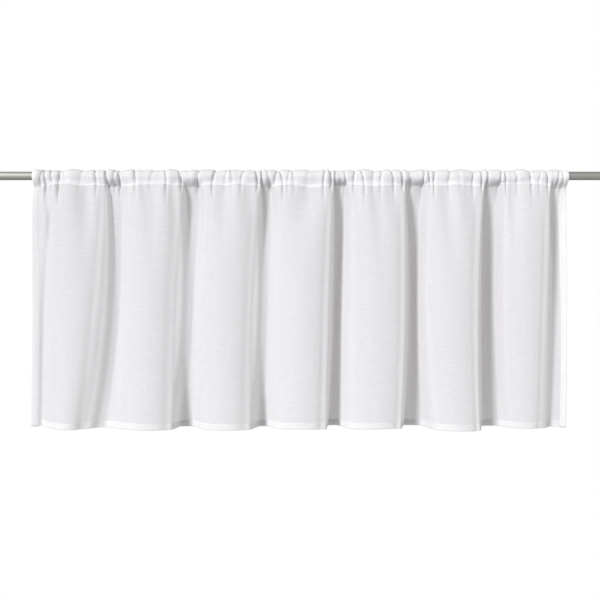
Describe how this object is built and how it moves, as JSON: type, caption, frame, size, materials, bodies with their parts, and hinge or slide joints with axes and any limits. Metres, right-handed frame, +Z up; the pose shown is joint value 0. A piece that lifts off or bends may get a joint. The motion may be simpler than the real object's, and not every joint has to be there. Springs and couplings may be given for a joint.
{
  "type": "cafe curtain on a rod",
  "caption": "Short sheer white window curtain, gathered by its rod pocket on a plain round metal rod and hanging in soft uneven folds.",
  "frame": {"origin": "centre of the rod's left end face, as seen from the front", "axes": "+X along the rod to the right, -Y towards the room, the side the cloth's front faces, +Z up"},
  "size_m": [1.2, 0.06, 0.4957],
  "materials": {
    "voile": "sheer white plain weave with fine slubs, narrow turned hems",
    "rod_metal": "satin metal, brushed along the rod"
  },
  "bodies": {
    "root": {"curtain": "voile", "rod": "rod_metal"}
  },
  "joints": []
}
